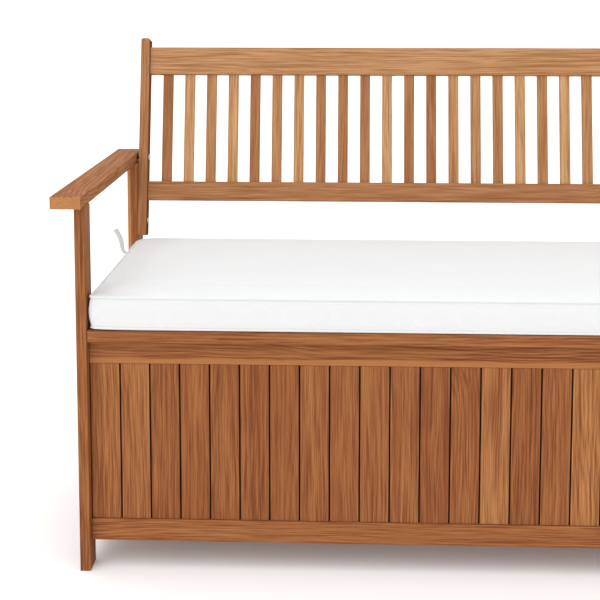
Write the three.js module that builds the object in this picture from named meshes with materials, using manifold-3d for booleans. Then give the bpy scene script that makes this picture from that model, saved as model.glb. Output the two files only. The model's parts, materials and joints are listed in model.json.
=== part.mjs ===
// Slatted hardwood storage bench: a box of upright boards under a hinged, slatted seat lid,
// with flat armrests, a reclined slatted back and a loose seat cushion with tie tapes.
import * as THREE from "three";
import { mergeVertices } from "three/addons/utils/BufferGeometryUtils.js";
import Module from "manifold-3d";

const wasm = await Module();
wasm.setup();

// ---------------------------------------------------------------------------
// Driving dimensions, in millimetres. The work frame has X across the bench from
// its middle, Y backwards from the front posts' front faces and Z up from the ground.
// ---------------------------------------------------------------------------
const gap = 0.3; // clearance left between pieces that touch
const widthOverPosts = 1480;
const benchHeight = 840;
const timber = 19.5; // thickness of the rear posts and the rails

const frontPostWidth = 17;
const frontPostDepth = 44;
const rearPostFront = 485;
const rearPostDepth = 60;

const armrestWidth = 48.2;
const armrestOverhang = 33.1; // beyond the posts' outer faces
const armrestFront = -19.8;
const armrestLength = 599.3;
const armrestTop = 616.9;
const armrestThickness = 19.3;

const baseRailBottom = 47.3;
const baseRailTop = 83.2;
const topRailBottom = 342;
const topRailTop = 380;
const baseRailRecess = 14; // from the posts' outer faces to the rail's face
const topRailRecess = 16;
const sideRailRecess = 1.5;

const boardRecess = 17; // front and rear panels
const sideBoardRecess = 4;
const boardThickness = 10;
const boardGroove = 2.4; // width of the joint between neighbouring boards
const panelClearance = 1.5; // between a panel and the posts beside it
const tongueDepth = 3; // from the boards' faces to the tongues that close the joints
const tongueThickness = 3;
const frontBoards = 30;
const frontBoardPitch = 48.1;
const sideBoards = 9;
const battenThickness = 12;
const battenHeight = 30;
const battenInset = 40; // batten's distance from the boards' ends
const cornerBlock = 25;

const floorBottom = 66.3;
const floorThickness = 12;
const bearerWidth = 40;

const seatTop = 399;
const seatThickness = 18.6;
const lidSideClearance = 0.8;
const lidDepth = 496;
const lidSlats = 7;
const lidSlatGap = 4;
const lidBattenWidth = 45;
const lidBattenThickness = 18;
const lidBattenSpacing = 480;
const rearBoardFront = 504;

const hingeAxisY = 500;
const hingeAxisZ = 395;
const hingeOffset = 520; // hinge's distance from the bench's middle
const hingeLength = 60;
const knuckleRadius = 3.2;
const pinRadius = 1.5;
const leafThickness = 2;

const recline = THREE.MathUtils.degToRad(12);
const backFoot = { y: 473.3, z: 462 }; // front lower edge of the stiles
const stileThickness = 17.1;
const stileDepth = 30.5;
const stileEndRadius = 4; // rounding of the stiles' ends, seen from the front
const backRailRecess = 5;
const backRailDepth = 20;
const backTopRail = { bottom: 770, top: 822 }; // heights of the front faces above the ground
const backBottomRail = { bottom: 527.5, top: 563.7 };
const backSlats = 32;
const backSlatPitch = 43;
const backSlatWidth = 19.4;
const backSlatDepth = 11;
const slatTenon = 8; // slat end held in the rail's groove

const boltShankRadius = 3;
const boltHeadRadius = 5.5;
const boltHeadHeight = 3.6;
const boltTip = 735; // the shank's end, from the bench's middle
const boltHeights = { lower: 487, upper: 608 };

const cushionSide = 719.5; // half of the cushion's width
const cushionFront = 2;
const cushionBack = 487;
const cushionTop = 452.3;
const cushionFrontRadius = 7;
const cushionRearRadius = 34;

const tieY = 360;
const tieWidth = 8;
const tieThickness = 2.4;
// The tie's centreline, outwards from the cushion's side and upwards from its top.
const tieRoute = [[0.8, -2], [4.5, -1], [7.8, 3], [9, 9], [12.5, 20.5], [17.2, 31.5], [22.5, 42]];

// ---------------------------------------------------------------------------
// Derived places
// ---------------------------------------------------------------------------
const outer = widthOverPosts / 2;
const inner = outer - timber; // between the rear posts
const frontInner = outer - frontPostWidth;
const rearFace = rearPostFront + rearPostDepth;
const armrestBottom = armrestTop - armrestThickness;
const boardBottom = baseRailTop + gap;
const boardTop = topRailBottom - gap;
const seatBottom = seatTop - seatThickness;
const stileOuter = inner - 0.5;
const stileInner = stileOuter - stileThickness;
const stileLength = (benchHeight - backFoot.z) / Math.cos(recline);
const sides = { left: -1, right: 1 };

// Distance up the reclined back's front plane of a point that is `depth` behind it.
const alongBack = (height, depth = 0) =>
  (height - backFoot.z + depth * Math.sin(recline)) / Math.cos(recline);

// ---------------------------------------------------------------------------
// Materials
// ---------------------------------------------------------------------------
const finish = (color, roughness, metalness = 0) =>
  new THREE.MeshStandardMaterial({ color, roughness, metalness });
const hardwood = () => finish(0xa8703f, 0.6);
const paleHardwood = () => finish(0xbc8655, 0.6);
const cover = () => finish(0xf2f1ef, 0.9);
const steel = () => finish(0x8d9094, 0.35, 1);
const cap = () => finish(0xb9bcc0, 0.4, 1);

// ---------------------------------------------------------------------------
// Helpers
// ---------------------------------------------------------------------------
const size = ([low, high]) => high - low;
const middle = ([low, high]) => (low + high) / 2;

// A range beside the bench's middle, on the side that `side` gives.
const beside = (side, near, far) => (side > 0 ? [near, far] : [-far, -near]);

// A box geometry that fills the given X, Y and Z ranges.
function box(x, y, z) {
  const geometry = new THREE.BoxGeometry(size(x), size(y), size(z));
  return geometry.translate(middle(x), middle(y), middle(z));
}

// A box geometry whose four corners, seen along Y, are rounded.
function roundedBoard(x, y, z, radius = stileEndRadius) {
  const outline = new THREE.Shape();
  outline.absarc(x[0] + radius, z[0] + radius, radius, Math.PI, 1.5 * Math.PI);
  outline.absarc(x[1] - radius, z[0] + radius, radius, 1.5 * Math.PI, 2 * Math.PI);
  outline.absarc(x[1] - radius, z[1] - radius, radius, 0, 0.5 * Math.PI);
  outline.absarc(x[0] + radius, z[1] - radius, radius, 0.5 * Math.PI, Math.PI);
  const options = { depth: size(y), bevelEnabled: false, curveSegments: 4 };
  return new THREE.ExtrudeGeometry(outline, options).rotateX(Math.PI / 2).translate(0, y[1], 0);
}

// A cylinder geometry along X, centred on (x, y, z).
function rod(radius, length, x, y, z, segments = 24) {
  const geometry = new THREE.CylinderGeometry(radius, radius, length, segments);
  return geometry.rotateZ(Math.PI / 2).translate(x, y, z);
}

function toSolid(geometry) {
  const bare = geometry.clone();
  bare.deleteAttribute("normal");
  bare.deleteAttribute("uv");
  const merged = mergeVertices(bare, 1e-4);
  return new wasm.Manifold(new wasm.Mesh({
    numProp: 3,
    vertProperties: new Float32Array(merged.attributes.position.array),
    triVerts: new Uint32Array(merged.index.array),
  }));
}

function toGeometry(solid) {
  const mesh = solid.getMesh();
  const geometry = new THREE.BufferGeometry();
  geometry.setAttribute("position", new THREE.BufferAttribute(new Float32Array(mesh.vertProperties), 3));
  geometry.setIndex(new THREE.BufferAttribute(new Uint32Array(mesh.triVerts), 1));
  geometry.computeVertexNormals();
  return geometry;
}

const join = (pieces) => toGeometry(pieces.map(toSolid).reduce((whole, piece) => whole.add(piece)));
const cut = (whole, tools) =>
  toGeometry(tools.map(toSolid).reduce((rest, tool) => rest.subtract(tool), toSolid(whole)));

// The mirror image of a geometry across the bench's middle plane, its faces turned to point out.
function mirrored(geometry) {
  const copy = geometry.index ? geometry.toNonIndexed() : geometry.clone();
  copy.scale(-1, 1, 1);
  const points = copy.attributes.position;
  const corner = (i) => [points.getX(i), points.getY(i), points.getZ(i)];
  for (let i = 0; i < points.count; i += 3) {
    const [second, third] = [corner(i + 1), corner(i + 2)];
    points.setXYZ(i + 1, ...third);
    points.setXYZ(i + 2, ...second);
  }
  copy.computeVertexNormals();
  return copy;
}

function add(parent, name, geometry, material) {
  const mesh = new THREE.Mesh(geometry, material);
  mesh.name = name;
  parent.add(mesh);
  return mesh;
}

// A plain rectangular board, placed by its ranges.
function addBoard(parent, name, x, y, z, material = hardwood()) {
  const mesh = add(parent, name, new THREE.BoxGeometry(size(x), size(y), size(z)), material);
  mesh.position.set(middle(x), middle(y), middle(z));
  return mesh;
}

// ---------------------------------------------------------------------------
// Posts and armrests
// ---------------------------------------------------------------------------
// Each back bolt's place: behind and along the stile's front face, and in the work frame.
const boltPlaces = Object.fromEntries(Object.entries(boltHeights).map(([level, height]) => {
  const depth = stileDepth / 2;
  const along = alongBack(height, depth);
  const y = backFoot.y + along * Math.sin(recline) + depth * Math.cos(recline);
  return [level, { depth, along, y, z: height }];
}));

const boltHole = (side, y, z, near, far) =>
  rod(boltShankRadius + gap, far - near, side * (near + far) / 2, y, z);

function addPostsAndArmrests(bench) {
  const postTop = armrestBottom - gap;
  const armrestInner = outer + armrestOverhang - armrestWidth;
  for (const [name, side] of Object.entries(sides)) {
    const frontPostX = beside(side, frontInner, outer);
    const rearPostX = beside(side, inner, outer);
    const armX = beside(side, armrestInner, armrestInner + armrestWidth);
    addBoard(bench, `front_post_${name}`, frontPostX, [0, frontPostDepth], [0, postTop]);

    const rearPost = box(rearPostX, [rearPostFront, rearFace], [0, postTop]);
    const { lower, upper } = boltPlaces;
    const lowerHole = boltHole(side, lower.y, lower.z, inner - 1, boltTip + 1);
    add(bench, `rear_post_${name}`, cut(rearPost, [lowerHole]), hardwood());

    const armrest = box(armX, [armrestFront, armrestFront + armrestLength], [armrestBottom, armrestTop]);
    const upperHole = boltHole(side, upper.y, upper.z, armrestInner - 1, boltTip + 1);
    add(bench, `armrest_${name}`, cut(armrest, [upperHole]), hardwood());
  }
}

// ---------------------------------------------------------------------------
// The box: rails, boarded panels, corner blocks and floor
// ---------------------------------------------------------------------------
function addRails(bench) {
  const frontAcross = [-frontInner + gap, frontInner - gap];
  const rearAcross = [-inner + gap, inner - gap];
  const base = [baseRailBottom, baseRailTop];
  const top = [topRailBottom, topRailTop];
  const frontRange = (recess) => [recess, recess + timber];
  const rearRange = (recess) => [rearFace - recess - timber, rearFace - recess];
  addBoard(bench, "front_top_rail", frontAcross, frontRange(topRailRecess), top);
  addBoard(bench, "front_base_rail", frontAcross, frontRange(baseRailRecess), base);
  addBoard(bench, "rear_top_rail", rearAcross, rearRange(topRailRecess), top);
  addBoard(bench, "rear_base_rail", rearAcross, rearRange(baseRailRecess), base);
  for (const [name, side] of Object.entries(sides)) {
    const x = beside(side, frontInner, outer - sideRailRecess);
    const y = [frontPostDepth + gap, rearPostFront - gap];
    addBoard(bench, `side_top_rail_${name}`, x, y, top);
    addBoard(bench, `side_base_rail_${name}`, x, y, base);
  }
}

// Upright tongued boards on two cross battens. X runs across the panel from its middle and
// Y inwards from the boards' outer faces. The outermost boards are trimmed to the width.
function boardedPanel(width, count, pitch, battenWidth) {
  const tongues = [tongueDepth, tongueDepth + tongueThickness];
  const pieces = [box([boardGroove - width / 2, width / 2 - boardGroove], tongues, [boardBottom, boardTop])];
  for (let i = 0; i < count; i += 1) {
    const left = i === 0 ? -width / 2 : (i - count / 2) * pitch + boardGroove / 2;
    const right = i === count - 1 ? width / 2 : (i + 1 - count / 2) * pitch - boardGroove / 2;
    pieces.push(box([left, right], [0, boardThickness], [boardBottom, boardTop]));
  }
  const battenX = [-battenWidth / 2, battenWidth / 2];
  const battenY = [boardThickness - 0.5, boardThickness + battenThickness];
  for (const bottom of [boardBottom + battenInset, boardTop - battenInset - battenHeight]) {
    pieces.push(box(battenX, battenY, [bottom, bottom + battenHeight]));
  }
  return join(pieces);
}

function addPanels(bench) {
  const longPanel = (clear) => {
    const battenWidth = 2 * (clear - cornerBlock - 6);
    return boardedPanel(2 * (clear - panelClearance), frontBoards, frontBoardPitch, battenWidth);
  };
  add(bench, "front_panel", longPanel(frontInner), hardwood()).position.y = boardRecess;
  const rear = add(bench, "rear_panel", longPanel(inner), hardwood());
  rear.position.y = rearFace - boardRecess;
  rear.rotation.z = Math.PI;

  const openDepth = rearPostFront - frontPostDepth;
  const sideWidth = openDepth - boardGroove;
  for (const [name, side] of Object.entries(sides)) {
    const geometry = boardedPanel(sideWidth, sideBoards, openDepth / sideBoards, sideWidth - 50);
    const panel = add(bench, `side_panel_${name}`, geometry, hardwood());
    panel.position.set(side * (outer - sideBoardRecess), frontPostDepth + openDepth / 2, 0);
    panel.rotation.z = side * Math.PI / 2;
  }
}

function addCornerBlocks(bench) {
  const frontY = boardRecess + boardThickness + gap;
  const rearY = rearFace - frontY;
  for (const [name, side] of Object.entries(sides)) {
    const blockX = (clear) => beside(side, clear - gap - cornerBlock, clear - gap);
    const z = [boardBottom, boardTop];
    addBoard(bench, `front_corner_block_${name}`, blockX(frontInner), [frontY, frontY + cornerBlock], z);
    addBoard(bench, `rear_corner_block_${name}`, blockX(inner), [rearY - cornerBlock, rearY], z);
  }
}

function addFloor(bench) {
  const front = baseRailRecess + timber;
  const rear = rearFace - front;
  const bearerSpacing = inner - 3 * bearerWidth;
  for (const [name, place] of [["left", -1], ["centre", 0], ["right", 1]]) {
    const x = place * bearerSpacing;
    addBoard(
      bench, `floor_bearer_${name}`, [x - bearerWidth / 2, x + bearerWidth / 2],
      [front + gap, rear - gap], [baseRailBottom, floorBottom - gap],
    );
  }
  addBoard(
    bench, "floor_panel", [-inner + 1, inner - 1], [front + 1, rear - 1],
    [floorBottom, floorBottom + floorThickness],
  );
}

// ---------------------------------------------------------------------------
// The seat: fixed rear board, slatted lid and two butt hinges
// ---------------------------------------------------------------------------
function addSeat(bench) {
  const z = [seatBottom, seatTop];
  addBoard(bench, "rear_seat_board", [-inner + gap, inner - gap], [rearBoardFront, rearFace], z);

  const slatWidth = (lidDepth - (lidSlats - 1) * lidSlatGap) / lidSlats;
  for (let i = 0; i < lidSlats; i += 1) {
    const front = i * (slatWidth + lidSlatGap);
    const lidHalf = (front + slatWidth > rearPostFront ? inner : frontInner) - lidSideClearance;
    addBoard(bench, `lid_slat_${i + 1}`, [-lidHalf, lidHalf], [front, front + slatWidth], z);
  }
  const battenY = [slatWidth, lidDepth - 26];
  const battenZ = [seatBottom - gap - lidBattenThickness, seatBottom - gap];
  for (const [name, place] of [["left", -1], ["centre", 0], ["right", 1]]) {
    const x = place * lidBattenSpacing;
    const battenX = [x - lidBattenWidth / 2, x + lidBattenWidth / 2];
    addBoard(bench, `lid_batten_${name}`, battenX, battenY, battenZ);
  }
}

// A hinge leaf: a plate below the pin with a tab and a bored knuckle for each X range.
function hingeLeaf(plateY, knuckles) {
  const plateTop = hingeAxisZ - knuckleRadius - 0.6;
  const half = hingeLength / 2;
  const pieces = [box([-half, half], plateY, [seatBottom + 0.8, plateTop])];
  for (const x of knuckles) {
    pieces.push(box(x, plateY, [plateTop - 0.2, hingeAxisZ]));
    pieces.push(rod(knuckleRadius, size(x), middle(x), hingeAxisY, hingeAxisZ, 32));
  }
  const bore = rod(pinRadius + 0.25, hingeLength + 2, 0, hingeAxisY, hingeAxisZ);
  return cut(join(pieces), [bore]);
}

// Headed pin along X, centred on the hinge axis.
function hingePin() {
  const shank = hingeLength / 2 + 0.3;
  const headRadius = 2.6;
  const headLength = 1.2;
  const profile = [
    [0, -shank - headLength], [headRadius, -shank - headLength], [headRadius, -shank],
    [pinRadius, -shank], [pinRadius, shank], [headRadius, shank],
    [headRadius, shank + headLength], [0, shank + headLength],
  ];
  const geometry = new THREE.LatheGeometry(profile.map(([r, h]) => new THREE.Vector2(r, h)), 20);
  return geometry.rotateZ(-Math.PI / 2).translate(0, hingeAxisY, hingeAxisZ);
}

function addHinges(bench) {
  const half = hingeLength / 2;
  const third = hingeLength / 6;
  const play = 0.3;
  const centreKnuckle = [[-third + play, third - play]];
  const outerKnuckles = [[-half, -third - play], [third + play, half]];
  const movingY = [lidDepth + gap, lidDepth + gap + leafThickness];
  const fixedY = [rearBoardFront - gap - leafThickness, rearBoardFront - gap];
  for (const [name, side] of Object.entries(sides)) {
    const leaves = {
      [`hinge_moving_leaf_${name}`]: hingeLeaf(movingY, centreKnuckle),
      [`hinge_fixed_leaf_${name}`]: hingeLeaf(fixedY, outerKnuckles),
      [`hinge_pin_${name}`]: hingePin(),
    };
    for (const [part, geometry] of Object.entries(leaves)) {
      add(bench, part, geometry, steel()).position.x = side * hingeOffset;
    }
  }
}

// ---------------------------------------------------------------------------
// The back: a reclined frame with its own axes. Y runs backwards from the stiles'
// front faces and Z up along them from their lower ends.
// ---------------------------------------------------------------------------
function addBack(bench) {
  const back = new THREE.Group();
  back.position.set(0, backFoot.y, backFoot.z);
  back.rotation.x = -recline;
  bench.add(back);

  for (const [name, side] of Object.entries(sides)) {
    const stile = roundedBoard(beside(side, stileInner, stileOuter), [0, stileDepth], [0, stileLength]);
    const holes = Object.values(boltPlaces).map(({ depth, along }) =>
      boltHole(side, depth, along, stileInner - 1, stileOuter + 1));
    add(back, `back_stile_${name}`, cut(stile, holes), paleHardwood());
  }

  const railX = [-stileInner + gap, stileInner - gap];
  const railY = [backRailRecess, backRailRecess + backRailDepth];
  const slatY = [middle(railY) - backSlatDepth / 2, middle(railY) + backSlatDepth / 2];
  const grooveY = [slatY[0] - gap, slatY[1] + gap];
  const railZ = ({ bottom, top }) => [bottom, top].map((height) => alongBack(height, backRailRecess));
  const topZ = railZ(backTopRail);
  const bottomZ = railZ(backBottomRail);
  const slatZ = [bottomZ[1] - slatTenon, topZ[0] + slatTenon];
  const stripX = [railX[0] + 20, railX[1] - 20];
  const grooveX = [stripX[0] - gap, stripX[1] + gap];
  const topGroove = box(grooveX, grooveY, [topZ[0] - 1, slatZ[1] + gap]);
  const bottomGroove = box(grooveX, grooveY, [slatZ[0] - gap, bottomZ[1] + 1]);
  add(back, "back_top_rail", cut(box(railX, railY, topZ), [topGroove]), paleHardwood());
  add(back, "back_bottom_rail", cut(box(railX, railY, bottomZ), [bottomGroove]), paleHardwood());

  // The slats stand on spacer strips that fill the rails' grooves between them.
  const pieces = [
    box(stripX, slatY, [topZ[0] + 0.5, slatZ[1]]),
    box(stripX, slatY, [slatZ[0], bottomZ[1] - 0.5]),
  ];
  for (let i = 0; i < backSlats; i += 1) {
    const x = (i - (backSlats - 1) / 2) * backSlatPitch;
    pieces.push(box([x - backSlatWidth / 2, x + backSlatWidth / 2], slatY, slatZ));
  }
  add(back, "back_slats", join(pieces), paleHardwood());
}

// Button-headed bolt along X, its head on the stile's inner face.
function boltProfile() {
  const shankLength = boltTip - stileInner;
  const dome = Array.from({ length: 6 }, (_, i) => {
    const angle = (i / 5) * (Math.PI / 2);
    return [boltHeadRadius * Math.cos(angle), gap + boltHeadHeight * Math.sin(angle)];
  });
  dome[dome.length - 1][0] = 0;
  return [[0, -shankLength], [boltShankRadius, -shankLength], [boltShankRadius, gap], ...dome];
}

function addBolts(bench) {
  const profile = boltProfile().map(([radius, height]) => new THREE.Vector2(radius, height));
  for (const [level, { y, z }] of Object.entries(boltPlaces)) {
    for (const [name, side] of Object.entries(sides)) {
      const geometry = new THREE.LatheGeometry(profile, 20).rotateZ(side * Math.PI / 2);
      add(bench, `back_bolt_${level}_${name}`, geometry, cap()).position.set(side * stileInner, y, z);
    }
  }
}

// ---------------------------------------------------------------------------
// The cushion and its tie tapes
// ---------------------------------------------------------------------------
function addCushion(bench) {
  const f = cushionFrontRadius;
  const r = cushionRearRadius;
  const outline = new THREE.Shape();
  outline.absarc(-cushionSide + f, cushionFront + f, f, Math.PI, 1.5 * Math.PI);
  outline.absarc(cushionSide - f, cushionFront + f, f, 1.5 * Math.PI, 2 * Math.PI);
  outline.absarc(cushionSide - r, cushionBack - r, r, 0, 0.5 * Math.PI);
  outline.absarc(-cushionSide + r, cushionBack - r, r, 0.5 * Math.PI, Math.PI);
  const bottom = seatTop + gap;
  const options = { depth: cushionTop - bottom, bevelEnabled: false, curveSegments: 5 };
  const cushion = add(bench, "seat_cushion", new THREE.ExtrudeGeometry(outline, options), cover());
  cushion.position.z = bottom;
}

// A short tape that leaves the cushion's side seam and stands up and outwards, its broad
// side to the front.
function tieTape() {
  const curve = new THREE.SplineCurve(tieRoute.map(([out, up]) =>
    new THREE.Vector2(cushionSide + out, cushionTop + up)));
  const steps = 18;
  const edge = (side) => Array.from({ length: steps + 1 }, (_, i) => {
    const tangent = curve.getTangent(i / steps);
    const normal = new THREE.Vector2(-tangent.y, tangent.x);
    return curve.getPoint(i / steps).addScaledVector(normal, side * tieWidth / 2);
  });
  const outline = new THREE.Shape([...edge(-1), ...edge(1).reverse()]);
  const geometry = new THREE.ExtrudeGeometry(outline, { depth: tieThickness, bevelEnabled: false });
  return geometry.rotateX(Math.PI / 2).translate(0, tieY + tieThickness / 2, 0);
}

function addTies(bench) {
  const right = tieTape();
  add(bench, "cushion_tie_right", right, cover());
  add(bench, "cushion_tie_left", mirrored(right), cover());
}

// ---------------------------------------------------------------------------
// Assembly. The origin is on the ground, under the middle of the bench's box.
// ---------------------------------------------------------------------------
const stileBack = backFoot.y + stileLength * Math.sin(recline) + stileDepth * Math.cos(recline);
const bench = new THREE.Group();
bench.position.y = -(armrestFront + stileBack) / 2;
addPostsAndArmrests(bench);
addRails(bench);
addPanels(bench);
addCornerBlocks(bench);
addFloor(bench);
addSeat(bench);
addHinges(bench);
addBack(bench);
addBolts(bench);
addCushion(bench);
addTies(bench);

const storageBench = new THREE.Group();
storageBench.add(bench);
export default storageBench;
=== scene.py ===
"""Slatted storage bench: timber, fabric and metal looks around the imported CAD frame."""
import json
import math
import random

import bmesh
import bpy
import numpy as np
from mathutils import Matrix, Vector


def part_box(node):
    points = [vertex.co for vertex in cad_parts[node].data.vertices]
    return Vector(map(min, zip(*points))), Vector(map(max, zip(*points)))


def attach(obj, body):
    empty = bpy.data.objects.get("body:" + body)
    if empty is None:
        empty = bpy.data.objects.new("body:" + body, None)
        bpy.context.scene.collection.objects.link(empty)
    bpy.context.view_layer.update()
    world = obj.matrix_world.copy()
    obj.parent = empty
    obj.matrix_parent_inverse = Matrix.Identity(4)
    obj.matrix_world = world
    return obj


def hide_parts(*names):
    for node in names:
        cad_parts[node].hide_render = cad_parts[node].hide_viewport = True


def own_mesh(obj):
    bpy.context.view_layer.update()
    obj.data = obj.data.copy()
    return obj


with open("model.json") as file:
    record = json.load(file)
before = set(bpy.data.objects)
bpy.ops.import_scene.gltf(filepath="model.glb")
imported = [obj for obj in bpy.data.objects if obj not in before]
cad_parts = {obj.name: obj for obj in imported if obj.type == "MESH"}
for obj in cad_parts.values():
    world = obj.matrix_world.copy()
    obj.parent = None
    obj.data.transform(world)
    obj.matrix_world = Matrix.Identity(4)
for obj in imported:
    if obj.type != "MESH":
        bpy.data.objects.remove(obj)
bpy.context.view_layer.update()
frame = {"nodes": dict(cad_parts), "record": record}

# Places and sizes that the looks share with the CAD parts, in metres.
RECLINE = math.radians(12)
FRONT_BOARDS = 30
FRONT_BOARD_PITCH = 0.0481
SIDE_BOARDS = 9
BOARD_THICKNESS = 0.010
BOARD_GROOVE = 0.0024
TONGUE_DEPTH = 0.002  # how far behind the boards' faces the tongues lie
TONGUE_THICKNESS = 0.002
TONGUE_OVERHANG = 0.0013  # how far the outer boards' tongues reach towards the posts
TONGUE_SHORT = 0.001  # how far the tongues stop short of the boards' ends
BATTEN_HEIGHT = 0.030
BATTEN_INSET = 0.040  # from the panel's lower and upper edges
BATTEN_END_INSET = 0.027  # from the ends of the front and rear panels
SIDE_BATTEN_END_INSET = 0.024
BATTEN_TONE = -0.3
BACK_SLATS = 32
BACK_SLAT_PITCH = 0.043
BACK_SLAT_WIDTH = 0.0194
BACK_SLAT_DEPTH = 0.011
SLAT_BOTTOM, SLAT_TOP = 0.5637, 0.770  # heights between which the slats show
SLAT_TENON = 0.008
SPACER_SHORT = 0.0005  # how much shorter than the tenons the spacer strips are
STILE_DEPTH = 0.0305
BACK_RAIL_RECESS, BACK_RAIL_DEPTH = 0.005, 0.020  # behind the stiles' front faces
EASE = 0.0011  # rounding of the timber's edges
STILE_EASE = 0.0020
BOARD_EASE = 0.0006  # rounding of the panel boards' edges
SPACER_EASE = 0.0003
TONGUE_EASE = 0.0002
METAL_EASE = 0.0002
ALONG_AXIS = 0.9  # least part of a unit normal along an axis for a face that looks along it

# Tones of boards: d dark red, r reddish, n middle, w warm, g golden, l light. Listed from the left.
TONES = {"d": -0.8, "r": -0.4, "n": 0.0, "w": 0.3, "g": 0.9, "l": 0.95}
SLAT_TONES = "dlnldnlrddlddnnnlnlndnlnnldnlnnl"
FRONT_TONES = "wwrrrrrnnnwnngrngnrnnwnnrnngnn"


def srgb(red, green, blue):
    """A linear RGBA colour from 8-bit display values."""
    def linear(value):
        value /= 255
        return value / 12.92 if value <= 0.04045 else ((value + 0.055) / 1.055) ** 2.4
    return (linear(red), linear(green), linear(blue), 1.0)


# ---------------------------------------------------------------- camera, stage and light
LENS_MM, SENSOR_MM = 79.05, 36.0
LENS_SHIFT = (-0.0022, -0.2858)
CAMERA_PLACE = (-0.2947, -2.3099, 0.9504)
CAMERA_PITCH, CAMERA_TURN = 6.361, 2.442  # degrees below level and to the left
FLOOR_SIZE = 400
FLOOR_GLOW = 0.09
SKY_STRENGTH = 0.83


def add_camera():
    data = bpy.data.cameras.new("camera")
    data.sensor_width = SENSOR_MM
    data.lens = LENS_MM
    data.shift_x, data.shift_y = LENS_SHIFT
    camera = bpy.data.objects.new("camera", data)
    camera.location = CAMERA_PLACE
    camera.rotation_euler = (math.radians(90 - CAMERA_PITCH), 0, math.radians(CAMERA_TURN))
    bpy.context.scene.collection.objects.link(camera)
    bpy.context.scene.camera = camera


def add_sun(name, elevation, turn, spread, strength):
    """A soft studio light from in front, turned to one side. All angles in degrees."""
    data = bpy.data.lights.new(name, "SUN")
    data.angle = math.radians(spread)
    data.energy = strength
    light = bpy.data.objects.new(name, data)
    light.rotation_euler = (math.radians(90 - elevation), 0, math.radians(turn))
    bpy.context.scene.collection.objects.link(light)


def add_stage():
    """A white floor under an even white sky, lit by two soft suns."""
    bpy.ops.mesh.primitive_plane_add(size=FLOOR_SIZE, location=(0, 0, 0))
    floor = bpy.context.object
    floor.name = "floor"
    shader = Shader("floor_white")
    shader.set("Base Color", (0.98, 0.98, 0.98, 1))
    shader.set("Roughness", 0.9)
    shader.set("Specular IOR Level", 0.1)
    shader.set("Emission Color", (1, 1, 1, 1))
    shader.set("Emission Strength", FLOOR_GLOW)
    floor.data.materials.append(shader.material)

    world = bpy.data.worlds.new("studio")
    bpy.context.scene.world = world
    world.use_nodes = True
    background = world.node_tree.nodes["Background"]
    background.inputs["Color"].default_value = (1, 1, 1, 1)
    background.inputs["Strength"].default_value = SKY_STRENGTH
    bpy.context.scene.view_settings.view_transform = "Standard"

    add_sun("key", elevation=32, turn=-18, spread=50, strength=0.74)
    add_sun("top", elevation=84, turn=0, spread=70, strength=0.97)


# ---------------------------------------------------------------- node graphs
class Shader:
    """A material whose node tree is built with short calls."""

    def __init__(self, name):
        self.material = bpy.data.materials.new(name)
        self.material.use_nodes = True
        self.tree = self.material.node_tree
        self.tree.nodes.clear()
        self.surface = self.node("ShaderNodeBsdfPrincipled")
        output = self.node("ShaderNodeOutputMaterial")
        self.tree.links.new(self.surface.outputs["BSDF"], output.inputs["Surface"])

    def node(self, kind, **settings):
        node = self.tree.nodes.new(kind)
        for key, value in settings.items():
            setattr(node, key, value)
        return node

    def feed(self, socket, value):
        if isinstance(value, bpy.types.NodeSocket):
            self.tree.links.new(value, socket)
        else:
            socket.default_value = value

    def set(self, socket, value):
        self.feed(self.surface.inputs[socket], value)

    def math(self, operation, *values, clamp=False):
        node = self.node("ShaderNodeMath", operation=operation, use_clamp=clamp)
        for socket, value in zip(node.inputs, values):
            self.feed(socket, value)
        return node.outputs[0]

    def total(self, *terms):
        """The sum of (value, weight) terms and plain numbers."""
        result = None
        for term in terms:
            value = self.math("MULTIPLY", *term) if isinstance(term, tuple) else term
            result = value if result is None else self.math("ADD", result, value)
        return result

    def vector(self, operation, *values):
        node = self.node("ShaderNodeVectorMath", operation=operation)
        for socket, value in zip(node.inputs, values):
            self.feed(socket, value)
        return node.outputs[0]

    def split(self, vector):
        node = self.node("ShaderNodeSeparateXYZ")
        self.feed(node.inputs[0], vector)
        return node.outputs[0], node.outputs[1], node.outputs[2]

    def join(self, *values):
        node = self.node("ShaderNodeCombineXYZ")
        for socket, value in zip(node.inputs, values):
            self.feed(socket, value)
        return node.outputs[0]

    def noise(self, vector, stretch, detail=2.0, roughness=0.5):
        """Smooth noise, about 0.5, with the given number of features a metre along each axis."""
        node = self.node("ShaderNodeTexNoise")
        self.feed(node.inputs["Vector"], self.vector("MULTIPLY", vector, stretch))
        node.inputs["Scale"].default_value = 1.0
        node.inputs["Detail"].default_value = detail
        node.inputs["Roughness"].default_value = roughness
        return node.outputs[0]

    def ramp(self, value, *stops):
        node = self.node("ShaderNodeValToRGB")
        self.feed(node.inputs[0], value)
        elements = node.color_ramp.elements
        while len(elements) < len(stops):
            elements.new(0.5)
        for element, (place, color) in zip(elements, stops):
            element.position = place
            element.color = color
        return node.outputs[0]

    def mix(self, factor, first, second, blend="MIX"):
        node = self.node("ShaderNodeMix", data_type="RGBA", blend_type=blend)
        for index, value in ((0, factor), (6, first), (7, second)):
            self.feed(node.inputs[index], value)
        return node.outputs[2]

    def bump(self, height, strength, distance):
        node = self.node("ShaderNodeBump")
        node.inputs["Strength"].default_value = strength
        node.inputs["Distance"].default_value = distance
        self.feed(node.inputs["Height"], height)
        self.set("Normal", node.outputs[0])

    def coordinates(self):
        return self.node("ShaderNodeTexCoord").outputs["Object"]

    def attribute(self, name, output):
        return self.node("ShaderNodeAttribute", attribute_name=name).outputs[output]


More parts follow.
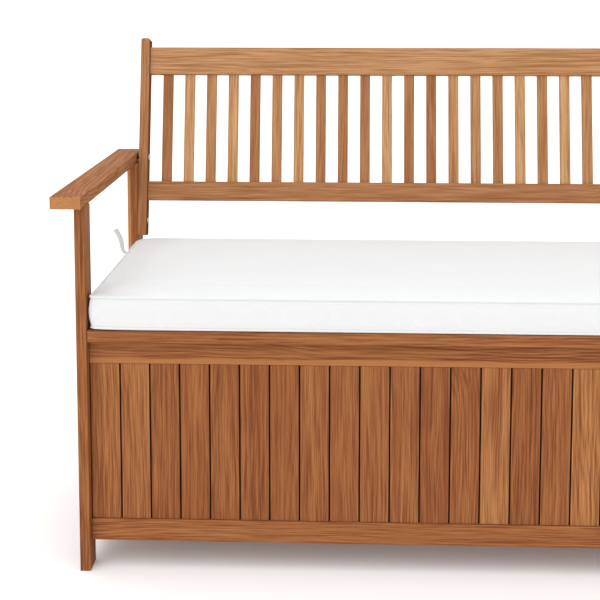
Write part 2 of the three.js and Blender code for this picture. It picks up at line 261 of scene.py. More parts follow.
# ---------------------------------------------------------------- timber
# Golden, red and deep tones of the timber of the box, the arms and posts, and the back.
BOX_PALETTE = (srgb(168, 111, 66), srgb(133, 76, 45), srgb(84, 39, 22))
ARM_PALETTE = (srgb(194, 139, 89), srgb(164, 106, 63), srgb(112, 62, 36))
BACK_PALETTE = (srgb(190, 143, 101), srgb(162, 110, 70), srgb(116, 70, 42))
DEEP_TINT, PALE_TINT = (0.84, 0.76, 0.74, 1), (1.16, 1.27, 1.30, 1)  # at tones -1 and 1

# The timber's noises: features a metre across the grain and along it, detail and roughness.
GRAIN = {
    "wander": (8, 1.7, 2, 0.5),
    "uneven": (75, 1.8, 3, 0.5),
    "patches": (11, 1.4, 2, 0.5),
    "sway": (14, 5, 2, 0.5),
    "band": (140, 1.4, 4, 0.65),
    "streak": (260, 3.0, 4, 0.7),
    "fleck": (520, 11, 2, 0.6),
    "fibre": (1300, 22, 1, 0.5),
    "cloud": (13, 2.4, 2, 0.5),
    "pore": (1500, 70, 1, 0.5),
}
# Weights of what makes the timber red rather than golden, and of what makes it dark.
RED = {
    "band": 1.3, "cloud": 0.9, "fleck": 1.7, "rings": 1.6, "tone": -0.22, "sapwood": -0.75,
    "base": -1.43,
}
DARK = {"streak": 2.0, "fleck": 1.7, "fibre": 0.6, "rings": 0.8, "sapwood": -0.6, "base": -2.02}
DARK_STRENGTH = 0.9

RING_WIDTH = 0.0052
RING_UNEVENNESS, RING_SHARPNESS = 15, 2.0
RING_THRESHOLD = 0.34  # of the patches where no rings show
LEAN, WANDER = 0.02, 0.09  # of the pith, across the board
SWAY = 0.012  # of the grain, across the board
PORE_THRESHOLD, PORE_STRENGTH = 0.62, 2.4
SAPWOOD_BLEND, SAPWOOD_SWAY = 0.003, 0.006  # width and waviness of the border to the heartwood
END_PALE, END_FACING = 1.2, 0.6  # how pale end grain is, and the normal where it begins
END_TINT = 0.3
TIMBER_ROUGHNESS, TIMBER_SPECULAR = 0.5, 0.07
TIMBER_RELIEF = 0.0003


def timber(
    name, palette, axes, shift=None, tone=None, tilt=0.0, figure=1.0, sapwood=None,
    specular=TIMBER_SPECULAR,
):
    """Oiled hardwood. axes names the axes across the board's wide face, through it and along its
    fibres. shift moves a board's figure and tone runs from reddish, -1, to light, 1; without
    them they come from the mesh's board attributes. tilt turns a leaning board's coordinates
    upright. figure is the strength of the rings. sapwood is an axis, the place on it below which
    the wood is golden, and how much paler it is there."""
    shader = Shader(name)
    place = shader.coordinates()
    if tilt:
        turned = shader.node("ShaderNodeVectorRotate", rotation_type="X_AXIS")
        shader.feed(turned.inputs["Vector"], place)
        turned.inputs["Angle"].default_value = tilt
        place = turned.outputs[0]
    moved = shader.attribute("board_shift", "Vector") if shift is None else shift
    own_tone = shader.attribute("board_tone", "Fac") if tone is None else tone
    parts = dict(zip("XYZ", shader.split(place)))
    board = shader.vector("ADD", shader.join(*(parts[axis] for axis in axes)), moved)
    u, v, w = shader.split(board)

    def grain(kind, where=board):
        across, along, detail, roughness = GRAIN[kind]
        return shader.noise(where, (across, across, along), detail, roughness)

    def toned(weight):
        return (own_tone, weight) if tone is None else weight * tone

    # Growth rings of uneven width round a wandering, leaning pith: straight or arched figure.
    sideways = shader.total(u, (w, LEAN), (grain("wander"), WANDER), -WANDER / 2)
    radius = shader.math("SQRT", shader.total((sideways, sideways), (v, v)))
    phase = shader.total((radius, 2 * math.pi / RING_WIDTH), (grain("uneven"), RING_UNEVENNESS))
    wave = shader.total((shader.math("SINE", phase), 0.5), 0.5)
    ring = shader.math("POWER", wave, RING_SHARPNESS)
    ring_strength = shader.math("SUBTRACT", grain("patches"), RING_THRESHOLD, clamp=True)
    rings = shader.math("MULTIPLY", ring, ring_strength)

    # Golden and red bands, dark streaks, short flecks and fine fibre, all drawn out along the grain.
    sway = grain("sway")
    wavy = shader.join(shader.total(u, (sway, SWAY)), v, w)
    fleck = grain("fleck", wavy)
    fibre = grain("fibre")
    red = shader.total(
        (grain("band", wavy), RED["band"]), (grain("cloud"), RED["cloud"]), (fleck, RED["fleck"]),
        toned(RED["tone"]), (rings, RED["rings"] * figure), RED["base"],
    )
    if sapwood is not None:
        axis, limit, pale = sapwood
        inside = shader.total((parts[axis], -1.0), (sway, SAPWOOD_SWAY), limit - SAPWOOD_SWAY / 2)
        sap = shader.math("MULTIPLY", inside, 1 / SAPWOOD_BLEND, clamp=True)
        red = shader.total(red, (sap, RED["sapwood"]))
    light, middle, deep = palette
    color = shader.mix(shader.math("ADD", red, 0.0, clamp=True), light, middle)
    dark = shader.total(
        (grain("streak", wavy), DARK["streak"]), (fleck, DARK["fleck"]), (fibre, DARK["fibre"]),
        (rings, DARK["rings"] * (figure - 1)), DARK["base"],
    )
    if sapwood is not None:
        dark = shader.total(dark, (sap, DARK["sapwood"]))
    color = shader.mix(shader.math("MULTIPLY", dark, DARK_STRENGTH, clamp=True), color, deep)
    pore = shader.math("SUBTRACT", grain("pore"), PORE_THRESHOLD, clamp=True)
    pore = shader.math("MULTIPLY", pore, PORE_STRENGTH, clamp=True)
    color = shader.mix(pore, color, deep)

    # End grain is paler and shows less figure.
    facing = dict(zip("XYZ", shader.split(shader.node("ShaderNodeTexCoord").outputs["Normal"])))
    end = shader.total((shader.math("ABSOLUTE", facing[axes[2]]), END_PALE), -END_PALE * END_FACING)
    end = shader.math("ADD", end, 0.0, clamp=True)
    color = shader.mix(end, color, light)
    share = shader.total(toned(0.5), (end, END_TINT), 0.5)
    if sapwood is not None:
        share = shader.total(share, (sap, pale))
    tint = shader.mix(share, DEEP_TINT, PALE_TINT)
    shader.set("Base Color", shader.mix(1.0, color, tint, "MULTIPLY"))
    shader.set("Roughness", shader.total((fibre, 0.2), TIMBER_ROUGHNESS))
    shader.set("Specular IOR Level", specular)
    height = shader.total((fibre, 0.4), (fleck, -0.3), (dark, -0.3), (pore, -0.6))
    shader.bump(height, 0.3, TIMBER_RELIEF)
    return shader.material


def joint_painted_shade():
    """Painted shade for the tongues deep in the joints between boards and for the boards' sides there: a
    near-black timber that stands in for the shadow in the narrow grooves.
    """
    shader = Shader("timber_joint_painted_shade")
    shade_noise = shader.noise(shader.coordinates(), (90, 90, 12), detail=2)
    shader.set("Base Color", shader.ramp(shade_noise, (0.3, srgb(16, 8, 5)), (0.7, srgb(28, 15, 9))))
    shader.set("Roughness", 0.8)
    shader.set("Specular IOR Level", 0.1)
    shader.bump(shade_noise, 0.2, TIMBER_RELIEF)
    return shader.material


def board_axes(low, high):
    """The axes across a board's wide face, through it and along it."""
    spans = Vector(high) - Vector(low)
    thin, wide, along = sorted(range(3), key=lambda i: spans[i])
    return "XYZ"[wide] + "XYZ"[thin] + "XYZ"[along]


# How far beside the pith a board with arched or straight figure may be cut, and how far above it.
ARCHED_ASIDE, STRAIGHT_ASIDE = 0.01, 0.10
ABOVE_PITH = (0.03, 0.09)
TREE_LENGTH = 8


def board_shift(low, high, axes, rng, aside=STRAIGHT_ASIDE):
    """A figure shift that puts a board's middle at a random place beside and above a pith."""
    middle = (Vector(low) + Vector(high)) / 2
    wide, thin, _ = (middle["XYZ".index(axis)] for axis in axes)
    return (
        rng.uniform(-aside, aside) - wide,
        rng.uniform(*ABOVE_PITH) - thin,
        rng.uniform(-TREE_LENGTH / 2, TREE_LENGTH / 2),
    )


# The left rear post's deep tone, -1, is partly painted shade for the strip beside the stile.
NODE_TONES = {
    "front_post_left": -0.25, "front_post_right": -0.2, "armrest_left": -0.6, "armrest_right": -0.5,
    "rear_post_left": -1.0, "rear_post_right": -0.4, "back_stile_left": -0.7, "front_top_rail": 0.15,
    "front_base_rail": 0.05, "lid_slat_1": 0.0, "back_top_rail": 0.2, "back_bottom_rail": -0.5,
}
ARCHED_FIGURE = ("front_top_rail", "lid_slat_3", "armrest_left", "armrest_right")
# Pale parts of a node along one axis. The left rear post is pale along its outer side, and its darker
# rest beside the stile is partly painted shade.
PALE_PARTS_AND_SHADE = {"front_top_rail": ("Z", 0.3525, -0.1), "rear_post_left": ("X", -0.7330, 0.75)}
ARM_NODES = ("armrest_left", "armrest_right", "rear_post_left", "rear_post_right")


NODE_TONE_SPREAD = 0.3
ARCHED_STRENGTH = 2.0
INNER_SHADE_TONE = -1.0  # tone of the painted shade on the stiles' inner faces


def dress_timber_nodes():
    """Gives each timber node of the CAD its own figure and tone."""
    rng = random.Random(5)
    slots = {row["node"]: row["material_slot"] for row in frame["record"]["subparts"]}
    for name in sorted(frame["nodes"]):
        if not slots[name].endswith("timber"):
            continue
        low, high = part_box(name)
        axes = "YXZ" if "stile" in name else board_axes(low, high)
        palette = BACK_PALETTE if slots[name] == "back_timber" else BOX_PALETTE
        palette = ARM_PALETTE if name in ARM_NODES else palette
        tone = NODE_TONES.get(name, rng.uniform(-NODE_TONE_SPREAD, NODE_TONE_SPREAD))
        arched = name in ARCHED_FIGURE
        aside, figure = (ARCHED_ASIDE, ARCHED_STRENGTH) if arched else (STRAIGHT_ASIDE, 1.0)
        shift = board_shift(low, high, axes, rng, aside)
        tilt = RECLINE if "stile" in name else 0.0
        material = timber(f"timber_{name}", palette, axes, shift, tone, tilt, figure, PALE_PARTS_AND_SHADE.get(name))
        node = frame["nodes"][name]
        dress_node(node, material, STILE_EASE if "stile" in name else EASE)
        # The stiles' inner faces get painted shade.
        if "stile" in name:
            paint_shade_on_inner_face(name, node, axes, shift, tilt)


def paint_shade_on_inner_face(name, node, axes, shift, tilt):
    """Paints shade on a stile's face towards the middle of the bench: a dull, deep red copy of its timber
    that stands in for the shade that falls there.
    """
    # The inner face's timber is painted shade: darker than the rest and without specular.
    inner = timber(f"timber_{name}_inner", BOX_PALETTE, axes, shift, INNER_SHADE_TONE, tilt, specular=0.0)
    node.data.materials.append(inner)
    inward = -math.copysign(1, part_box(name)[0].x)
    for polygon in node.data.polygons:
        sideways = (node.matrix_world.to_3x3() @ polygon.normal).x
        polygon.material_index = int(sideways * inward > ALONG_AXIS)


MERGE_DISTANCE = 0.00002
FLAT_ANGLE = math.radians(1)  # faces that meet at less are one flat face
SHARP_ANGLE = math.radians(40)  # edges that bend by more are eased


def dress_node(node, material, ease):
    """Gives a CAD node its material and eases its edges."""
    node.data.materials.clear()
    node.data.materials.append(material)
    node.modifiers.new("weld", "WELD").merge_threshold = MERGE_DISTANCE
    flat = node.modifiers.new("flat_faces", "DECIMATE")
    flat.decimate_type = "DISSOLVE"
    flat.angle_limit = FLAT_ANGLE
    bevel = node.modifiers.new("eased_edges", "BEVEL")
    bevel.width = ease
    bevel.segments = 2
    bevel.limit_method = "ANGLE"
    bevel.angle_limit = SHARP_ANGLE


# ---------------------------------------------------------------- boards made one by one
def eased_box(low, high, ease):
    """Vertices, faces and face normals of a box with rounded edges."""
    bm = bmesh.new()
    bmesh.ops.create_cube(bm, size=1.0)
    span = Vector(high) - Vector(low)
    middle = (Vector(low) + Vector(high)) / 2
    placed = Matrix.Translation(middle) @ Matrix.Diagonal((*span, 1))
    bmesh.ops.transform(bm, matrix=placed, verts=bm.verts)
    bmesh.ops.bevel(bm, geom=bm.edges[:], offset=ease, segments=2, profile=0.5, affect="EDGES")
    bm.verts.index_update()
    vertices = [tuple(vertex.co) for vertex in bm.verts]
    faces = [[vertex.index for vertex in face.verts] for face in bm.faces]
    normals = [tuple(face.normal) for face in bm.faces]
    bm.free()
    return vertices, faces, normals


def board_piece(name, boards, materials, transform=None, across=0):
    """One mesh of separate boards. Each board is (low, high, tone, shift, ease, slots), where slots
    are the material indices of its faces and of its two sides along the axis across."""
    vertices, faces, tones, shifts, slots = [], [], [], [], []
    for low, high, tone, shift, ease, (face_slot, side_slot) in boards:
        made, around, normals = eased_box(low, high, ease)
        faces += [[index + len(vertices) for index in face] for face in around]
        vertices += made
        tones += [tone] * len(made)
        shifts += [value for _ in made for value in shift]
        slots += [side_slot if abs(normal[across]) > ALONG_AXIS else face_slot for normal in normals]
    mesh = bpy.data.meshes.new(name)
    mesh.from_pydata(vertices, [], faces)
    mesh.attributes.new("board_tone", "FLOAT", "POINT").data.foreach_set("value", tones)
    mesh.attributes.new("board_shift", "FLOAT_VECTOR", "POINT").data.foreach_set("vector", shifts)
    mesh.polygons.foreach_set("material_index", slots)
    if transform is not None:
        mesh.transform(transform)
    for material in materials:
        mesh.materials.append(material)
    piece = bpy.data.objects.new(name, mesh)
    bpy.context.scene.collection.objects.link(piece)
    return piece


# Painted shade for the joints between the panel boards.
JOINT_PAINTED_SHADE = joint_painted_shade()
TONE_SPREAD = 0.12  # random part of a panel board's tone


def add_panel(name, node, across, inward, count, pitch, tones, seed):
    """Upright boards with tongues and two battens. across is the axis index along the panel and
    inward is 1 or -1, the way from the boards' faces into the box along the other level axis."""
    rng = random.Random(seed)
    low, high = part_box(node)
    through = 1 - across
    face = low[through] if inward > 0 else high[through]
    inner = high[through] if inward > 0 else low[through]
    middle = (low[across] + high[across]) / 2
    axes = "YXZ" if across else "XYZ"

    def block(start, end, near, far, bottom, top, tone, ease, slots):
        a, b = [0, 0, bottom], [0, 0, top]
        a[across], b[across] = start, end
        a[through], b[through] = sorted((near, far))
        aside = rng.choice((ARCHED_ASIDE, STRAIGHT_ASIDE, STRAIGHT_ASIDE))
        return a, b, tone, board_shift(a, b, axes, rng, aside), ease, slots

    boards = []
    back = face + inward * BOARD_THICKNESS
    for i in range(count):
        start = middle + (i - count / 2) * pitch + BOARD_GROOVE / 2
        end = middle + (i + 1 - count / 2) * pitch - BOARD_GROOVE / 2
        start = low[across] if i == 0 else start
        end = high[across] if i == count - 1 else end
        tone = TONES[tones[i]] + rng.uniform(-TONE_SPREAD, TONE_SPREAD)
        # A board's sides in the joints take the joints' painted shade.
        boards.append(block(start, end, face, back, low.z, high.z, tone, BOARD_EASE, (0, 1)))
    # The tongue behind the joints is all painted shade.
    tongue = face + inward * TONGUE_DEPTH
    boards.append(block(
        low[across] - TONGUE_OVERHANG, high[across] + TONGUE_OVERHANG,
        tongue, tongue + inward * TONGUE_THICKNESS,
        low.z + TONGUE_SHORT, high.z - TONGUE_SHORT, 0, TONGUE_EASE, (1, 1),
    ))
    inset = SIDE_BATTEN_END_INSET if across else BATTEN_END_INSET
    for bottom in (low.z + BATTEN_INSET, high.z - BATTEN_INSET - BATTEN_HEIGHT):
        boards.append(block(
            low[across] + inset, high[across] - inset, back, inner,
            bottom, bottom + BATTEN_HEIGHT, BATTEN_TONE, EASE, (0, 0),
        ))
    materials = [timber(f"timber_{name}", BOX_PALETTE, axes), JOINT_PAINTED_SHADE]
    piece = board_piece(name, boards, materials, across=across)
    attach(piece, "frame")
    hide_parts(node)


SLAT_TONE_SPREAD = 0.1


def add_back_slats():
    """The back's slats and the spacer strips between their ends, in the rails' grooves."""
    rng = random.Random(11)
    # The back frame's axes: Y backwards from the stiles' front faces and Z up along them.
    stile_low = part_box("back_stile_left")[0]
    foot = Vector((0, stile_low.y, stile_low.z + STILE_DEPTH * math.sin(RECLINE)))
    to_world = Matrix.Translation(foot) @ Matrix.Rotation(-RECLINE, 4, "X")
    middle = BACK_RAIL_RECESS + BACK_RAIL_DEPTH / 2
    near, far = middle - BACK_SLAT_DEPTH / 2, middle + BACK_SLAT_DEPTH / 2

    def along(height):
        """The distance along the rails' front plane from the foot to a height above the floor."""
        return (height - foot.z + BACK_RAIL_RECESS * math.sin(RECLINE)) / math.cos(RECLINE)

    bottom = along(SLAT_BOTTOM) - SLAT_TENON
    top = along(SLAT_TOP) + SLAT_TENON
    boards = []
    for i in range(BACK_SLATS):
        x = (i - (BACK_SLATS - 1) / 2) * BACK_SLAT_PITCH
        low = (x - BACK_SLAT_WIDTH / 2, near, bottom)
        high = (x + BACK_SLAT_WIDTH / 2, far, top)
        tone = TONES[SLAT_TONES[i]] + rng.uniform(-SLAT_TONE_SPREAD, SLAT_TONE_SPREAD)
        boards.append((low, high, tone, board_shift(low, high, "XYZ", rng), EASE, (0, 0)))
    half = (BACK_SLATS - 1) / 2 * BACK_SLAT_PITCH
    spacer = SLAT_TENON - SPACER_SHORT
    for start, end in ((bottom, bottom + spacer), (top - spacer, top)):
        low, high = (-half, near, start), (half, far, end)
        boards.append((low, high, BATTEN_TONE, board_shift(low, high, "XYZ", rng), SPACER_EASE, (0, 0)))
    material = timber("timber_back_slats", BACK_PALETTE, "XYZ", tilt=RECLINE)
    slats = board_piece("slats_of_back", boards, [material], to_world)
    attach(slats, "frame")
    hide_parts("back_slats")


# ---------------------------------------------------------------- fabric and metal
SLUBS, CLOUDS = (260,) * 3, (12,) * 3  # features a metre along each axis
THREAD_SWAY = 2.5
DULL_SHARE = 0.93


def woven_fabric(name, color, thread):
    """Plain weave with slubs. thread is the distance between threads."""
    shader = Shader(name)
    place = shader.coordinates()
    slub = shader.noise(place, SLUBS, detail=3)
    waves = [
        shader.math("SINE", shader.total((axis, 2 * math.pi / thread), (slub, THREAD_SWAY)))
        for axis in shader.split(place)
    ]
    weave = shader.total(*((wave, 0.25) for wave in waves))
    cloud = shader.noise(place, CLOUDS)
    shade = shader.total((slub, 0.35), (weave, 0.25), (cloud, 0.4))
    dull = tuple(DULL_SHARE * channel for channel in color[:3]) + (1,)
    shader.set("Base Color", shader.ramp(shade, (0.25, dull), (0.75, color)))
    shader.set("Roughness", 0.95)
    shader.set("Specular IOR Level", 0.15)
    shader.set("Sheen Weight", 0.15)
    shader.bump(shader.total((weave, 0.6), (slub, 0.5)), 0.25, 0.0004)
    return shader.material


BOLT_HEAD_HEIGHT = 0.005  # room at a bolt's inner end that its head fits in
SCRATCHES, ZINC_PATCHES = (400, 4000, 4000), (150,) * 3  # features a metre along each axis
PATCH_CONTRAST = 1.15


def brushed_metal(name, color, roughness):
    """Zinc-coated steel with fine scratches along X."""
    shader = Shader(name)
    place = shader.coordinates()
    scratch = shader.noise(place, SCRATCHES)
    patch = shader.noise(place, ZINC_PATCHES, detail=3)
    pale = tuple(min(1, PATCH_CONTRAST * channel) for channel in color[:3]) + (1,)
    shader.set("Base Color", shader.ramp(patch, (0.3, color), (0.7, pale)))
    shader.set("Metallic", 1.0)
    shader.set("Roughness", shader.total((scratch, 0.25), (patch, 0.1), roughness - 0.17))
    shader.bump(scratch, 0.1, 0.0001)
    return shader.material


def dress_metal_nodes():
    """Gives the hinges and the bolts of the CAD their looks. The bolts' shanks are darker: painted shade
    for the gap between armrest and stile that they cross.
    """
    zinc = brushed_metal("zinc_hinge", srgb(178, 182, 186), 0.42)
    head = brushed_metal("zinc_bolt", srgb(205, 207, 210), 0.38)
    # The shanks' dark colour is painted shade for the gaps they cross.
    shank_painted_shade = brushed_metal("bolt_shank_painted_shade", srgb(62, 50, 42), 0.6)
    for name, node in frame["nodes"].items():
        if name.startswith("hinge"):
            dress_node(node, zinc, METAL_EASE)
        if name.startswith("back_bolt"):
            dress_node(node, head, METAL_EASE)
            node.data.materials.append(shank_painted_shade)
            inner_end = min(abs(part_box(name)[0].x), abs(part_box(name)[1].x))
            for polygon in node.data.polygons:
                polygon.use_smooth = True
                from_end = abs((node.matrix_world @ polygon.center).x) - inner_end
                polygon.material_index = int(from_end > BOLT_HEAD_HEIGHT)


# ---------------------------------------------------------------- cushion
PIPING = 0.0021  # radius of the cord in the seams
FRONT_CORNER = 0.006  # of the top seam
LOWER_CORNER = 0.009  # of the bottom seam in front
REAR_CORNER = 0.034
CORNER_LIFT = 0.0016  # of the bottom seam's front corners
CROWN = 0.007
CROWN_START = 0.35  # share of the crown before the simulation adds the rest
CROWN_REACH = 0.045  # how soon the top rises inwards from the seam
LIFT_REACH = 0.03  # how far from the front corners their lift goes
UPPER_LIFT = 0.6  # share of the lift that the top seam takes
BOXING_LEVELS = 5
BOXING_TURN = 2.2  # how soon, going up, the boxing strip takes on the top seam's outline
COVER_GAP, SEAM_GAP = 0.0002, 0.0003  # how far the cover and its lower piping stay inside the CAD
LEVEL_FACE = 0.5  # least upright part of a normal on the top and the bottom
THREAD, TAPE_THREAD = 0.0011, 0.0009
BULGE = 0.0030  # of the boxing strip between its two seams
FRONT_BULGE = 0.6  # share of the bulge in front and behind
SIDE_ROOM = 0.0014  # how far the cover may swell past the CAD cushion's sides
FINE_CELL, COARSE_CELL, CELL_GROWTH = 0.0025, 0.011, 1.25
SWELL = 0.007  # most that the simulation may move a point


def grid_lines(start, end):
    """Grid lines from start to end, closer together towards both ends."""
    near = [0.0]
    step = FINE_CELL
    while step < COARSE_CELL:
        near.append(near[-1] + step)
        step *= CELL_GROWTH
    inside = end - start - 2 * near[-1]
    count = round(inside / COARSE_CELL)
    middle = [near[-1] + inside * i / count for i in range(1, count)]
    offsets = near + middle + [end - start - value for value in reversed(near)]
    return [start + value for value in offsets]


def round_corners(x, y, half, front, back, front_radius):
    """Moves a point of a plan rectangle to the rectangle with rounded corners."""
    in_front = y < (front + back) / 2
    radius = front_radius if in_front else REAR_CORNER
    beyond_x = (abs(x) - (half - radius)) / radius
    beyond_y = ((front + radius - y) if in_front else (y - back + radius)) / radius
    if beyond_x <= 0 or beyond_y <= 0:
        return x, y
    drawn_x = beyond_x * math.sqrt(1 - beyond_y ** 2 / 2)
    drawn_y = beyond_y * math.sqrt(1 - beyond_x ** 2 / 2)
    new_y = front + radius - radius * drawn_y if in_front else back - radius + radius * drawn_y
    return math.copysign(half - radius + radius * drawn_x, x), new_y


def cushion_shell(half, front, back, bottom, top, crown):
    """Vertices, faces and the seams' vertex loops of a boxed cushion: a top and a bottom sheet
    joined by a boxing strip that bulges between the seams."""
    columns = grid_lines(-half, half)
    rows = grid_lines(front, back)
    wide, deep = len(columns), len(rows)

    def rise(x, y):
        inset = max(0.0, min(half - abs(x), y - front, back - y))
        return crown * (1 - math.exp(-inset / CROWN_REACH))

    def corner_lift(x, y):
        return CORNER_LIFT * math.exp(-math.hypot(half - abs(x), y - front) / LIFT_REACH)

    vertices = []
    for corner, height in (
        (LOWER_CORNER, lambda x, y: bottom + corner_lift(x, y)),
        (FRONT_CORNER, lambda x, y: top + rise(x, y) + UPPER_LIFT * corner_lift(x, y)),
    ):
        for y in rows:
            for x in columns:
                vertices.append((*round_corners(x, y, half, front, back, corner), height(x, y)))
    faces = []
    sheet = wide * deep
    for j in range(deep - 1):
        for i in range(wide - 1):
            a = j * wide + i
            faces.append((a, a + wide, a + wide + 1, a + 1))
            faces.append(tuple(sheet + index for index in (a, a + 1, a + wide + 1, a + wide)))
    edge = list(range(wide))
    edge += [j * wide + wide - 1 for j in range(1, deep)]
    edge += [(deep - 1) * wide + i for i in range(wide - 2, -1, -1)]
    edge += [j * wide for j in range(deep - 2, 0, -1)]

    loops = [edge]
    for level in range(1, BOXING_LEVELS):
        share = level / BOXING_LEVELS
        out = BULGE * math.sin(math.pi * share)
        reach = math.sin(0.5 * math.pi * min(1.0, BOXING_TURN * share))
        loop = []
        for position, index in enumerate(edge):
            x, y, z = Vector(vertices[index]).lerp(Vector(vertices[sheet + index]), reach)
            z = vertices[index][2] + share * (vertices[sheet + index][2] - vertices[index][2])
            before = Vector(vertices[edge[position - 1]])
            after = Vector(vertices[edge[(position + 1) % len(edge)]])
            away = Vector((after.y - before.y, before.x - after.x, 0)).normalized()
            loop.append(len(vertices))
            vertices.append((x + out * away.x, y + FRONT_BULGE * out * away.y, z))
        loops.append(loop)
    loops.append([sheet + index for index in edge])
    for lower, upper in zip(loops, loops[1:]):
        for i in range(len(edge)):
            k = (i + 1) % len(edge)
            faces.append((lower[i], lower[k], upper[k], upper[i]))
    return vertices, faces, loops[0], loops[-1], sheet


def inflate(piece, pinned, frames=20):
    """Blows the piece up with Cloth, its pinned points held, and keeps the result in its mesh."""
    scene = bpy.context.scene
    group = piece.vertex_groups.new(name="pinned")
    group.add(pinned, 1.0, "REPLACE")
    start = np.empty(3 * len(piece.data.vertices))
    piece.data.vertices.foreach_get("co", start)
    cloth = piece.modifiers.new("cloth", "CLOTH")
    settings = cloth.settings
    settings.quality = 6
    settings.mass = 0.25
    settings.tension_stiffness = settings.compression_stiffness = 18
    settings.shear_stiffness = 6
    settings.bending_stiffness = 0.6
    settings.shrink_min = -0.012
    settings.use_pressure = True
    settings.uniform_pressure_force = 4
    settings.vertex_group_mass = group.name
    settings.effector_weights.gravity = 0
    cloth.point_cache.frame_start = 1
    cloth.point_cache.frame_end = frames
    for frame_number in range(1, frames + 1):
        scene.frame_set(frame_number)
    swollen = piece.evaluated_get(bpy.context.evaluated_depsgraph_get())
    end = np.empty_like(start)
    swollen.data.vertices.foreach_get("co", end)
    piece.modifiers.remove(cloth)
    piece.vertex_groups.remove(group)
    scene.frame_set(1)
    move = (end - start).reshape(-1, 3)
    length = np.maximum(np.linalg.norm(move, axis=1, keepdims=True), 1e-9)
    move *= SWELL * np.tanh(length / SWELL) / length
    piece.data.vertices.foreach_set("co", start + move.ravel())
    piece.data.update()


def tube(points, radius, sides=8):
    """Vertices and faces of a closed tube round a level loop of points."""
    vertices, faces = [], []
    count = len(points)
    for i, point in enumerate(points):
        along = (points[(i + 1) % count] - points[i - 1]).normalized()
        across = along.cross(Vector((0, 0, 1))).normalized()
        up = across.cross(along)
        for k in range(sides):
            angle = 2 * math.pi * k / sides
            vertices.append(point + radius * (math.cos(angle) * across + math.sin(angle) * up))
            following = (i + 1) % count
            faces.append((
                i * sides + k, following * sides + k,
                following * sides + (k + 1) % sides, i * sides + (k + 1) % sides,
            ))
    return vertices, faces


def add_cushion():
    """The seat cushion: a boxed cover blown up by simulation, with piping in both seams."""
    low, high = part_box("seat_cushion")
    half, front, back = high.x - PIPING, low.y + PIPING, high.y - PIPING
    bottom, top = low.z + PIPING + SEAM_GAP, high.z - COVER_GAP
    crown = CROWN_START * CROWN
    vertices, faces, lower_seam, upper_seam, sheet = cushion_shell(half, front, back, bottom, top, crown)
    mesh = bpy.data.meshes.new("cushion_cover")
    mesh.from_pydata(vertices, [], faces)
    cushion = bpy.data.objects.new("cushion_cover", mesh)
    bpy.context.scene.collection.objects.link(cushion)
    inflate(cushion, list(range(sheet)) + upper_seam)
    for vertex in mesh.vertices:
        vertex.co.x = max(-high.x - SIDE_ROOM, min(high.x + SIDE_ROOM, vertex.co.x))
        vertex.co.y = max(low.y, min(high.y, vertex.co.y))
        vertex.co.z = max(low.z + COVER_GAP, vertex.co.z)
    finer = cushion.modifiers.new("finer", "SUBSURF")
    finer.levels = finer.render_levels = 1
    finer.boundary_smooth = "PRESERVE_CORNERS"
    divided = cushion.evaluated_get(bpy.context.evaluated_depsgraph_get())
    smooth = bpy.data.meshes.new_from_object(divided)

    bm = bmesh.new()
    bm.from_mesh(smooth)
    for seam in (lower_seam, upper_seam):
        points = [Vector(vertices[index]) for index in seam]
        around, ring_faces = tube(points, PIPING)
        made = [bm.verts.new(point) for point in around]
        for face in ring_faces:
            bm.faces.new([made[index] for index in face])
    bmesh.ops.recalc_face_normals(bm, faces=bm.faces)
    bm.to_mesh(smooth)
    bm.free()
    cushion.modifiers.clear()
    cushion.data = smooth
    smooth.polygons.foreach_set("use_smooth", [True] * len(smooth.polygons))
    smooth.materials.clear()
    smooth.materials.append(woven_fabric("cushion_weave", srgb(230, 232, 233), THREAD))
    # The upright faces get a darker copy of the weave: painted shade, as they take less light than the
    # top.
    smooth.materials.append(woven_fabric("cushion_boxing_weave_painted_shade", srgb(225, 226, 226), THREAD))
    upright = [int(abs(face.normal.z) < LEVEL_FACE) for face in smooth.polygons]
    smooth.polygons.foreach_set("material_index", upright)
    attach(cushion, "cushion")
    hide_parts("seat_cushion")
    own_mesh(cushion)


# ---------------------------------------------------------------- tie tapes
# A tape's centreline, outwards from the cushion's side and upwards from its top, in metres.
TIE_ROUTE = (
    (0.0008, -0.002), (0.0045, -0.001), (0.0082, 0.003), (0.0097, 0.009),
    (0.0114, 0.0205), (0.0157, 0.0315), (0.0219, 0.042),
)
TIE_WIDTH = 0.0082
TIE_LAYER = 0.0007
TIE_SPREAD = 0.0013  # from the middle of the tie to the middle of a layer
TIE_CUP = 0.0005
# At the cushion: shares of the spread and the width, and how soon the tape is at its full width.
TIE_START_SPREAD, TIE_START_WIDTH, TIE_WIDENING = 0.35, 0.55, 1.6
TIE_STEPS = 5  # points between two of the route's points
# Half of a layer's section, in half widths and thicknesses.
TAPE_HALF = [(-1, 0), (-0.93, 0.42), (-0.5, 0.5), (0, 0.5), (0.5, 0.5), (0.93, 0.42)]


def smooth_route(points, steps):
    """Points along a smooth curve through the given ones."""
    path = [Vector((out, 0, up)) for out, up in points]
    path = [2 * path[0] - path[1]] + path + [2 * path[-1] - path[-2]]
    route = []
    for i in range(1, len(path) - 2):
        for step in range(steps):
            t = step / steps
            a, b, c, d = path[i - 1:i + 3]
            squared = (2 * a - 5 * b + 4 * c - d) * t ** 2
            cubed = (3 * b - a - 3 * c + d) * t ** 3
            route.append(0.5 * (2 * b + (c - a) * t + squared + cubed))
    return route + [path[-2]]


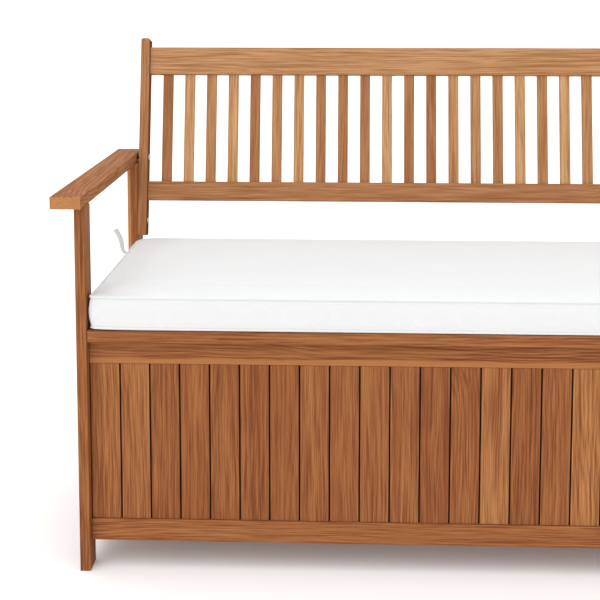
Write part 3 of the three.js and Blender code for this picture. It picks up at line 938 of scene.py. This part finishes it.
def tape_layer(bm, route, side, depth):
    """One layer of folded tape: a thin strip with rounded edges that cups a little. The layers
    part towards the free end, where the tape is widest."""
    sections = []
    profile = TAPE_HALF + [(-a, -b) for a, b in TAPE_HALF]
    for i, point in enumerate(route):
        share = i / (len(route) - 1)
        along = (route[min(i + 1, len(route) - 1)] - route[max(i - 1, 0)]).normalized()
        across = Vector((-along.z, 0, along.x))
        apart = depth * (TIE_START_SPREAD + (1 - TIE_START_SPREAD) * share)
        cup = TIE_CUP * math.sin(math.pi * share)
        widened = min(1, TIE_WIDENING * share)
        width = TIE_WIDTH * (TIE_START_WIDTH + (1 - TIE_START_WIDTH) * widened)
        ring = []
        for a, b in profile:
            place = point + across * (a * width / 2) + Vector((0, apart + b * TIE_LAYER + cup * a * a, 0))
            ring.append(bm.verts.new((side * place.x, place.y, place.z)))
        sections.append(ring)
    for first, second in zip(sections, sections[1:]):
        for k in range(len(profile)):
            after = (k + 1) % len(profile)
            bm.faces.new((first[k], first[after], second[after], second[k]))
    bm.faces.new(sections[0])
    bm.faces.new(sections[-1][::-1])


def add_ties():
    """The cushion's two tie tapes, each folded in two layers."""
    material = woven_fabric("tie_weave", srgb(214, 208, 204), TAPE_THREAD)
    for name, side in (("left", -1), ("right", 1)):
        node = f"cushion_tie_{name}"
        low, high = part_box(node)
        cushion_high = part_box("seat_cushion")[1]
        base = Vector((cushion_high.x, (low.y + high.y) / 2, cushion_high.z))
        route = [base + point for point in smooth_route(TIE_ROUTE, TIE_STEPS)]
        bm = bmesh.new()
        for depth in (-TIE_SPREAD, TIE_SPREAD):
            tape_layer(bm, route, side, depth)
        bmesh.ops.recalc_face_normals(bm, faces=bm.faces)
        mesh = bpy.data.meshes.new(f"tie_tape_{name}")
        bm.to_mesh(mesh)
        bm.free()
        mesh.materials.append(material)
        mesh.polygons.foreach_set("use_smooth", [True] * len(mesh.polygons))
        tie = bpy.data.objects.new(f"tie_tape_{name}", mesh)
        bpy.context.scene.collection.objects.link(tie)
        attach(tie, "cushion")
        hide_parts(node)
        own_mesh(tie)


# ---------------------------------------------------------------- finish
add_camera()
add_stage()
dress_timber_nodes()
dress_metal_nodes()
add_panel("boards_front", "front_panel", 0, 1, FRONT_BOARDS, FRONT_BOARD_PITCH, FRONT_TONES, 21)
add_panel("boards_rear", "rear_panel", 0, -1, FRONT_BOARDS, FRONT_BOARD_PITCH, FRONT_TONES[::-1], 22)
side_low, side_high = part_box("side_panel_left")
side_pitch = (side_high.y - side_low.y + BOARD_GROOVE) / SIDE_BOARDS
add_panel("boards_left", "side_panel_left", 1, 1, SIDE_BOARDS, side_pitch, "nrngnrnng", 23)
add_panel("boards_right", "side_panel_right", 1, -1, SIDE_BOARDS, side_pitch, "gnnrngnnr", 24)
add_back_slats()
add_cushion()
add_ties()
